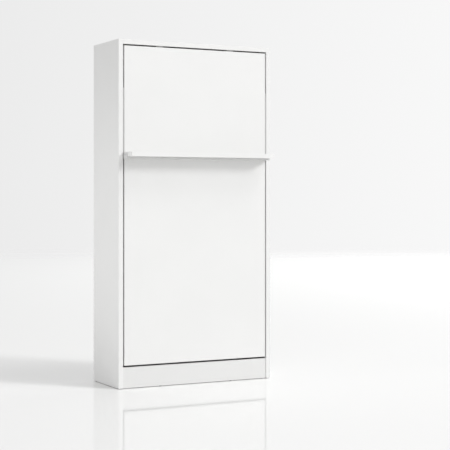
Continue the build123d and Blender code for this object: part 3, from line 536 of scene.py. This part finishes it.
def mattress_cover():
    """The cover as one closed mesh: two quilted faces and the side band between their piped edges.

    Returns the mesh, how far each point may move, and the two rims that the piping follows.
    """
    half_x, half_z = BED_HALF.x - SIDE_SWELL, BED_HALF.z - SIDE_SWELL
    columns, rows = round(2 * half_x / CELL), round(2 * half_z / CELL)
    columns += columns % 2
    rows += rows % 2
    face_y = BED_HALF.y - SEAM_DEPTH
    points, swell = [], []
    index = {}

    def add(key, x, y, z, room):
        index[key] = len(points)
        points.append(BED_CENTRE + Vector((x, y, z)))
        swell.append(room)

    for side in (-1, 1):
        for i in range(columns + 1):
            for j in range(rows + 1):
                x, z = rounded((2 * i / columns - 1) * half_x, (2 * j / rows - 1) * half_z,
                               half_x, half_z, CORNER)
                edge = i in (0, columns) or j in (0, rows)
                seam = (i + j) % SEAM_CELLS == 0 or (i - j) % SEAM_CELLS == 0
                add((side, i, j), x, side * face_y, z, 0 if edge or seam else PUFF)
    rim = ([(i, 0) for i in range(columns)] + [(columns, j) for j in range(rows)]
           + [(i, rows) for i in range(columns, 0, -1)] + [(0, j) for j in range(rows, 0, -1)])
    for band in range(1, BAND_ROWS):
        share = band / BAND_ROWS
        for i, j in rim:
            low = points[index[(-1, i, j)]] - BED_CENTRE
            add(("band", band, i, j), low.x, -face_y + 2 * face_y * share, low.z, SIDE_SWELL)
    faces, kinds = [], []
    for side in (-1, 1):
        for i in range(columns):
            for j in range(rows):
                corners = [index[(side, i, j)], index[(side, i + 1, j)],
                           index[(side, i + 1, j + 1)], index[(side, i, j + 1)]]
                faces.append(corners if side < 0 else corners[::-1])
                kinds.append(0)

    def rim_point(band, i, j):
        if band in (0, BAND_ROWS):
            return index[(1 if band else -1, i, j)]
        return index[("band", band, i, j)]

    for band in range(BAND_ROWS):
        for a, b in zip(rim, rim[1:] + rim[:1]):
            faces.append([rim_point(band, *b), rim_point(band, *a),
                          rim_point(band + 1, *a), rim_point(band + 1, *b)])
            kinds.append(1)
    mesh = mesh_from("mattress_cover", points, faces, kinds)
    rims = {side: [points[index[(side, i, j)]] for i, j in rim] for side in (-1, 1)}
    return mesh, swell, rims


CLOTH_STEPS = 20


def puff_by_cloth(obj, swell):
    """Blows the cover up against its seams as cloth, then caps how far each point has moved."""
    group = obj.vertex_groups.new(name="held")
    group.add([i for i, room in enumerate(swell) if not room], 1.0, "REPLACE")
    rest = [v.co.copy() for v in obj.data.vertices]
    cloth = obj.modifiers.new("cloth", "CLOTH")
    settings = cloth.settings
    settings.quality = 4
    settings.mass = 0.25
    settings.tension_stiffness = 12
    settings.compression_stiffness = 12
    settings.shear_stiffness = 4
    settings.bending_stiffness = 0.4
    settings.use_pressure = True
    settings.uniform_pressure_force = 8
    settings.shrink_min = -0.04
    settings.vertex_group_mass = "held"
    settings.pin_stiffness = 1
    settings.effector_weights.gravity = 0
    cloth.collision_settings.use_collision = False
    for step in range(1, CLOTH_STEPS + 1):
        bpy.context.scene.frame_set(step)
    apply_modifiers(obj)
    bpy.context.scene.frame_set(1)
    for v, start, room in zip(obj.data.vertices, rest, swell):
        moved = v.co - start
        if moved.length > room:
            v.co = start + moved * (room / moved.length)
    even = obj.modifiers.new("even", "SMOOTH")
    even.factor, even.iterations = 0.5, 3
    even.vertex_group, even.invert_vertex_group = "held", True
    apply_modifiers(obj)


def make_mattress():
    mesh, swell, rims = mattress_cover()
    cover = new_object("mattress_cover", mesh, [MATERIALS["ticking"], BORDER], None)
    puff_by_cloth(cover, swell)
    smooth(cover.data)
    soft = cover.modifiers.new("soft", "SUBSURF")
    soft.levels = soft.render_levels = 1
    apply_modifiers(cover)
    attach(cover, "bed")
    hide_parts("mattress")
    for side, word in ((-1, "front"), (1, "back")):
        points, faces = tube_points(rims[side], PIPING_R, PIPING_SIDES, closed=True)
        piping = new_object(f"mattress_piping_{word}", mesh_from("piping", points, faces),
                            [PIPING], "bed")
        smooth(piping.data)


HANDLE = (0.20, 0.028, 0.0022)  # length, width, thickness
HANDLE_RISE = 0.0065
HANDLE_ARCH = 0.7  # power of the sine that the handle follows, for a flatter top than a plain sine's
HANDLE_FLAT = 0.13  # share of its length that is sewn down at each end
HANDLE_Z = 0.30  # from the middle of the mattress
HANDLE_STEPS = 24
HANDLE_STITCHED = 0.36  # the stitched box's half sides, as a share of the sewn end's
BAND_X = BED_HALF.x - SIDE_SWELL / 2  # where the side band lies on average


def make_handle(name, side, z):
    """A tape handle sewn to the side band at both ends, standing a little off in the middle."""
    length, width, thick = HANDLE
    section = ((0, -1), (0, 1), (1, 1), (1, -1))
    points = []
    for i in range(HANDLE_STEPS + 1):
        place = i / HANDLE_STEPS
        share = min(1, max(0, (place - HANDLE_FLAT) / (1 - 2 * HANDLE_FLAT)))
        lift = HANDLE_RISE * math.sin(math.pi * share) ** HANDLE_ARCH
        for out, across in section:
            points.append(Vector((side * (BAND_X + lift + out * thick),
                                  BED_CENTRE.y + across * width / 2, z + (place - 0.5) * length)))
    sides, last = len(section), len(points) - 1
    caps = [tuple(range(sides)), tuple(range(last, last - sides, -1))]
    mesh = mesh_from(name, points, ring_faces(HANDLE_STEPS + 1, sides) + caps)
    outward(mesh)
    handle = new_object(name, mesh, [HANDLE_TAPE], "bed")
    bevel = handle.modifiers.new("edge", "BEVEL")
    bevel.width, bevel.segments, bevel.limit_method = thick * 0.3, 2, "ANGLE"
    apply_modifiers(handle)
    smooth(handle.data)


def box_stitch(centre, along, across, half_long, half_wide, lift):
    """The four sides of a rectangle of stitches and its two diagonals."""
    corners = [centre + along * (half_long * a) + across * (half_wide * b)
               for a, b in ((-1, -1), (1, -1), (1, 1), (-1, 1))]
    rows = list(zip(corners, corners[1:] + corners[:1])) + [(corners[0], corners[2]),
                                                             (corners[1], corners[3])]
    return [mesh for start, end in rows for mesh in stitch_meshes(start, end, lift)]


def make_handles():
    length, width, thick = HANDLE
    sewn = length * HANDLE_FLAT
    up, deep = Vector((0, 0, 1)), Vector((0, 1, 0))
    stitches = []
    for side, word in ((-1, "left"), (1, "right")):
        for end, place in ((-1, "head"), (1, "foot")):
            z = BED_CENTRE.z + end * HANDLE_Z
            make_handle(f"mattress_handle_{word}_{place}", side, z)
            for tip in (-1, 1):
                centre = Vector((side * (BAND_X + thick), BED_CENTRE.y,
                                 z + tip * (length - sewn) / 2))
                stitches += box_stitch(centre, up, deep, sewn * HANDLE_STITCHED,
                                       width * HANDLE_STITCHED, Vector((side, 0, 0)))
    joined("mattress_handle_stitches", stitches, [THREAD], "bed")


EYELET_R = 0.008
EYELET_RIM = 0.22  # the rim's own radius, as a share of the eyelet's
RIM_SIDES = 10
EYELET_Z = (-0.80, -0.72, 0.72, 0.80)
GRILLE_WIRES = 5  # each way
GRILLE_WIRE_R = 0.0005


def grille(centre):
    """Fine crossed wires over an eyelet's hole."""
    wires = []
    across, up = Vector((0, 1, 0)), Vector((0, 0, 1))
    for k in range(GRILLE_WIRES):
        offset = EYELET_R * (2 * (k + 1) / (GRILLE_WIRES + 1) - 1)
        reach = math.sqrt(EYELET_R ** 2 - offset ** 2)
        for way, cross in ((across, up), (up, across)):
            middle = centre + cross * offset
            ends = [middle - way * reach, middle + way * reach]
            wires.append(capped_tube("wire", ends, GRILLE_WIRE_R))
    return wires


def make_eyelets():
    """Pressed ventilation eyelets in the side bands: a rim, a fine grille, and behind it a black disc as
    painted shade.
    """
    rims, shade_discs = [], []
    turns = [2 * math.pi * k / RIM_SIDES for k in range(RIM_SIDES)]
    rim = [(EYELET_R * (1 + EYELET_RIM * math.cos(t)), EYELET_R * EYELET_RIM * math.sin(t))
           for t in turns]
    # A thin black disc behind each grille: painted shade for the dark inside of the hole.
    back = [(0, 0.0), (EYELET_R, 0.0), (EYELET_R, -GRILLE_WIRE_R), (0, -GRILLE_WIRE_R)]
    for side in (-1, 1):
        for z in EYELET_Z:
            centre = Vector((side * BED_HALF.x, BED_CENTRE.y, BED_CENTRE.z + z))
            proud = centre + Vector((side * 2 * GRILLE_WIRE_R, 0, 0))
            rims += [turned("rim", rim, centre, (side, 0, 0))] + grille(proud)
            shade_discs.append(turned("back", back, proud, (side, 0, 0)))
    smooth(joined("mattress_eyelets", rims, [MATERIALS["white_plastic"]], "bed").data)
    joined("mattress_eyelet_painted_shade", shade_discs, [MATERIALS["black_plastic"]], "bed")


make_mattress()
make_handles()
make_eyelets()


# ================================================================ straps that hold the mattress
STRAP_NAMES = ("strap_head", "strap_foot")
STRAP_THICK = 0.0018
STRAP_TRIM = 0.001  # the webbing is this much narrower than its CAD solid
STRAP_INSET = 0.001  # from that solid's outer faces to the middle of the webbing
STRAP_BEND = 0.012
STRAP_STEP = 0.012
OFF_MATTRESS = 0.0015  # from the mattress's side to the middle of the webbing
RAIL_BEND = 0.011  # behind the bed rail, where the strap turns towards the mattress
SIDE_BEND = 0.008  # behind the mattress's front, where it turns along the mattress's side
BUCKLE_BAR = 0.0125  # half the width of the buckle's middle bar
BUCKLE_EDGE = 0.022  # where the strap starts to rise into the buckle's slot
BUCKLE_REACH = 0.03  # the route has finer steps this far from the buckle's middle
BUCKLE_STEP = 0.002
FLAT_RANGE = 0.002  # a point this near the strap's flat back run is on it
BUCKLE_GAP = 0.0002  # between the buckle and the webbing
TAIL_GAP = 0.0003  # between the strap and its loose end
# The loose end: flat at first, then lifting towards its hem, which is the last stretch.
TAIL_X = (0.026, 0.05, 0.08, 0.11, 0.146, 0.176)
TAIL_LIFT = (0, 0, 0, 0, 0.001, 0.0035)
TAIL_STEP = 0.008
TAIL_ASIDE = 0.0015  # the loose end lies this far to one side of the strap
TAIL_TRIM = 0.002  # and is this much narrower than the strap's CAD solid
HEM_STITCH = 0.004  # from the hem's fold to its row of stitches
HEM_WIDE = 0.4  # half the stitched width, as a share of the strap's
BOX_X = (-0.052, 0.20)  # where the strap's layers are sewn together
BOX_LONG = 0.016
BOX_WIDE = 0.38  # half the stitched width, as a share of the strap's


def strap_route(name):
    """The strap's route in x and y: rail, mattress side, over the back, and down the other side."""
    low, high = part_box(name)
    rail_x, over_y = high.x - STRAP_INSET, high.y - STRAP_INSET
    side_x = BED_HIGH.x + OFF_MATTRESS
    rail_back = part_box("bed_rail_right")[1].y
    half = [(rail_x, low.y), (rail_x, rail_back + RAIL_BEND), (side_x, BED_LOW.y + SIDE_BEND),
            (side_x, over_y)]
    corners = [(-x, y) for x, y in half] + [(x, y) for x, y in reversed(half)]
    return even_path(rounded_path(corners, STRAP_BEND), STRAP_STEP), over_y


def over_buckle(x, y, over_y, rise):
    """The height of a point of the strap, lifted where it passes through the buckle and over its bar."""
    if abs(y - over_y) >= FLAT_RANGE:
        return y
    share = min(1, max(0, (BUCKLE_EDGE - abs(x)) / (BUCKLE_EDGE - BUCKLE_BAR)))
    return y + rise * share * share * (3 - 2 * share)


def make_strap_tail(name, y, z, width):
    """The loose end beyond the buckle, with its folded hem. Returns the hem's row of stitches."""
    tail = [Vector((x, y + lift)) for x, lift in zip(TAIL_X, TAIL_LIFT)]
    hem = [p + Vector((0, STRAP_THICK)) for p in tail[-2:]]
    layers = [ribbon_mesh(word, even_path(route, TAIL_STEP), z + TAIL_ASIDE, width - TAIL_TRIM,
                          STRAP_THICK)
              for word, route in (("tail", tail), ("hem", hem))]
    joined(f"{name}_tail", layers, [MATERIALS["webbing"]], "bed")
    middle = Vector((hem[0].x + HEM_STITCH, hem[0].y + STRAP_THICK / 2, z))
    half = Vector((0, 0, width * HEM_WIDE))
    return stitch_meshes(middle - half, middle + half, Vector((0, 1, 0)))


def make_strap(name):
    """One strap as webbing that passes through its buckle. Returns its stitches."""
    low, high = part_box(name)
    z, width = (low.z + high.z) / 2, high.z - low.z
    route, over_y = strap_route(name)
    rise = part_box("strap_buckles")[1].y + STRAP_THICK / 2 + BUCKLE_GAP - over_y
    over = even_path([Vector((-BUCKLE_REACH, over_y)), Vector((BUCKLE_REACH, over_y))], BUCKLE_STEP)
    route = ([p for p in route if p.x < -BUCKLE_REACH] + over
             + [p for p in route if p.x > BUCKLE_REACH])
    for p in route:
        p.y = over_buckle(p.x, p.y, over_y, rise)
    mesh = ribbon_mesh(name, route, z, width - STRAP_TRIM, STRAP_THICK)
    outward(mesh)
    strap = new_object(f"{name}_webbing", mesh, [MATERIALS["webbing"]], "bed")
    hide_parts(name)
    stitches = make_strap_tail(name, over_y + STRAP_THICK + TAIL_GAP, z, width)
    for x in BOX_X:
        stitches += box_stitch(Vector((x, over_y + STRAP_THICK / 2, z)), Vector((1, 0, 0)),
                               Vector((0, 0, 1)), BOX_LONG, width * BOX_WIDE, Vector((0, 1, 0)))
    return stitches


joined("strap_stitches", [mesh for name in STRAP_NAMES for mesh in make_strap(name)],
       [THREAD], "bed")


# ================================================================ felt pads under the foot bar
PAD_COUNT = 4
PAD_SIDES = 40
# A pad's half section, from its top's middle: shares of its radius and of its thickness.
PAD_SECTION = ((0, 1), (0.9, 1), (0.985, 0.8), (1, 0.5), (0.985, 0.25), (0.93, 0.1), (0.5, 0), (0, 0))


def make_foot_pads():
    """Felt discs with a crowned face and a soft rounded edge."""
    low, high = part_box("foot_pads")
    radius, thick = (high.y - low.y) / 2, high.z - low.z
    y = (low.y + high.y) / 2
    pitch = (high.x - low.x - 2 * radius) / (PAD_COUNT - 1)
    profile = [(radius * out, thick * up) for out, up in PAD_SECTION]
    discs = [turned("pad", profile, Vector((low.x + radius + k * pitch, y, low.z)), (0, 0, 1), PAD_SIDES)
             for k in range(PAD_COUNT)]
    pads = joined("foot_pads_felt", discs, [MATERIALS["felt"]], "leg_shelf")
    smooth(pads.data)
    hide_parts("foot_pads")


make_foot_pads()


# ================================================================ stage and light
FADE = (16.0, 22.0)  # the floor fades out between these distances from the object
FLOOR_SIDES = 96


def make_stage():
    """A pale floor that fades into the background far from the object."""
    mesh = bpy.data.meshes.new("floor")
    shape = bmesh.new()
    bmesh.ops.create_circle(shape, cap_ends=True, radius=FADE[1] + 1, segments=FLOOR_SIDES)
    shape.to_mesh(mesh)
    shape.free()
    s = Shader("floor", (0.965, 0.965, 0.96), 0.06)
    s.set(Specular_IOR_Level=0.18)
    s.tint(s.noise(0.004, 3), 0.995, 1.0)
    distance = s.node("ShaderNodeVectorMath", Vector=s.place)
    distance.operation = "LENGTH"
    s.tree.links.new(s.between(distance.outputs["Value"], 1, 0, *FADE),
                     s.surface.inputs["Alpha"])
    floor = new_object("floor", mesh, [s.material], None)


def make_world():
    """White light all round, stronger from above and in front. Seen or mirrored, a white backdrop."""
    world = bpy.data.worlds.new("studio")
    bpy.context.scene.world = world
    world.use_nodes = True
    tree = world.node_tree
    tree.nodes.clear()
    direction = tree.nodes.new("ShaderNodeTexCoord").outputs["Generated"]

    def background(axis, start, end, low, high):
        """A white background whose strength goes from low to high along an axis."""
        along = tree.nodes.new("ShaderNodeVectorMath")
        along.operation = "DOT_PRODUCT"
        tree.links.new(direction, along.inputs[0])
        along.inputs[1].default_value = Vector(axis).normalized()
        shade = tree.nodes.new("ShaderNodeMapRange")
        tree.links.new(along.outputs["Value"], shade.inputs["Value"])
        for name, number in zip(("From Min", "From Max", "To Min", "To Max"), (start, end, low, high)):
            shade.inputs[name].default_value = number
        made = tree.nodes.new("ShaderNodeBackground")
        made.inputs["Color"].default_value = (1, 1, 1, 1)
        tree.links.new(shade.outputs["Result"], made.inputs["Strength"])
        return made

    mix = tree.nodes.new("ShaderNodeMixShader")
    path = tree.nodes.new("ShaderNodeLightPath")
    output = tree.nodes.new("ShaderNodeOutputWorld")
    mirrored = tree.nodes.new("ShaderNodeMath")
    mirrored.operation = "MAXIMUM"
    tree.links.new(path.outputs["Is Camera Ray"], mirrored.inputs[0])
    tree.links.new(path.outputs["Is Glossy Ray"], mirrored.inputs[1])
    tree.links.new(mirrored.outputs[0], mix.inputs["Fac"])
    tree.links.new(background(*WORLD_LIGHT).outputs[0], mix.inputs[1])
    tree.links.new(background(*WORLD_SEEN).outputs[0], mix.inputs[2])
    tree.links.new(mix.outputs[0], output.inputs["Surface"])


def area_light(name, place, target, size, power, spread=180):
    """A rectangular light that shows neither in the view nor in reflections."""
    data = bpy.data.lights.new(name, "AREA")
    data.shape = "RECTANGLE"
    data.size, data.size_y = size
    data.energy = power
    data.spread = math.radians(spread)
    light = bpy.data.objects.new(name, data)
    light.location = place
    light.rotation_mode = "QUATERNION"
    light.rotation_quaternion = (Vector(target) - Vector(place)).to_track_quat("-Z", "Y")
    light.visible_camera = light.visible_glossy = False
    bpy.context.scene.collection.objects.link(light)


# An axis, where along it the change starts and ends, and the strength before and after.
WORLD_LIGHT = ((0, -0.6, 1), 0.0, 1.0, 0.37, 0.62)
WORLD_SEEN = ((1, 0, 0), 0.30, 0.62, 0.84, 0.94)
TARGET = Vector((0.0, 0.0, 1.2))
# Both main lights come from the right front. They are far off, so that they stay even over the height.
KEY_AWAY = Vector((0.569, -0.669, 0.478)) * 60
TOP_AWAY = Vector((0.324, -0.381, 0.866)) * 40
make_stage()
make_world()
area_light("key", TARGET + KEY_AWAY, TARGET, (10.3, 17.1), 15300)
area_light("top", TARGET + TOP_AWAY, TARGET, (14, 14), 3400)
# A narrow level beam onto the left side, and a lamp over the floor behind on the right.
area_light("side_fill", (-6.0, 0.3, 0.9), (-0.54, 0.0, 0.9), (2.0, 1.0), 4.8, spread=40)
area_light("floor_lamp", (13, 8, 7), (13, 8, 0), (13, 13), 750)
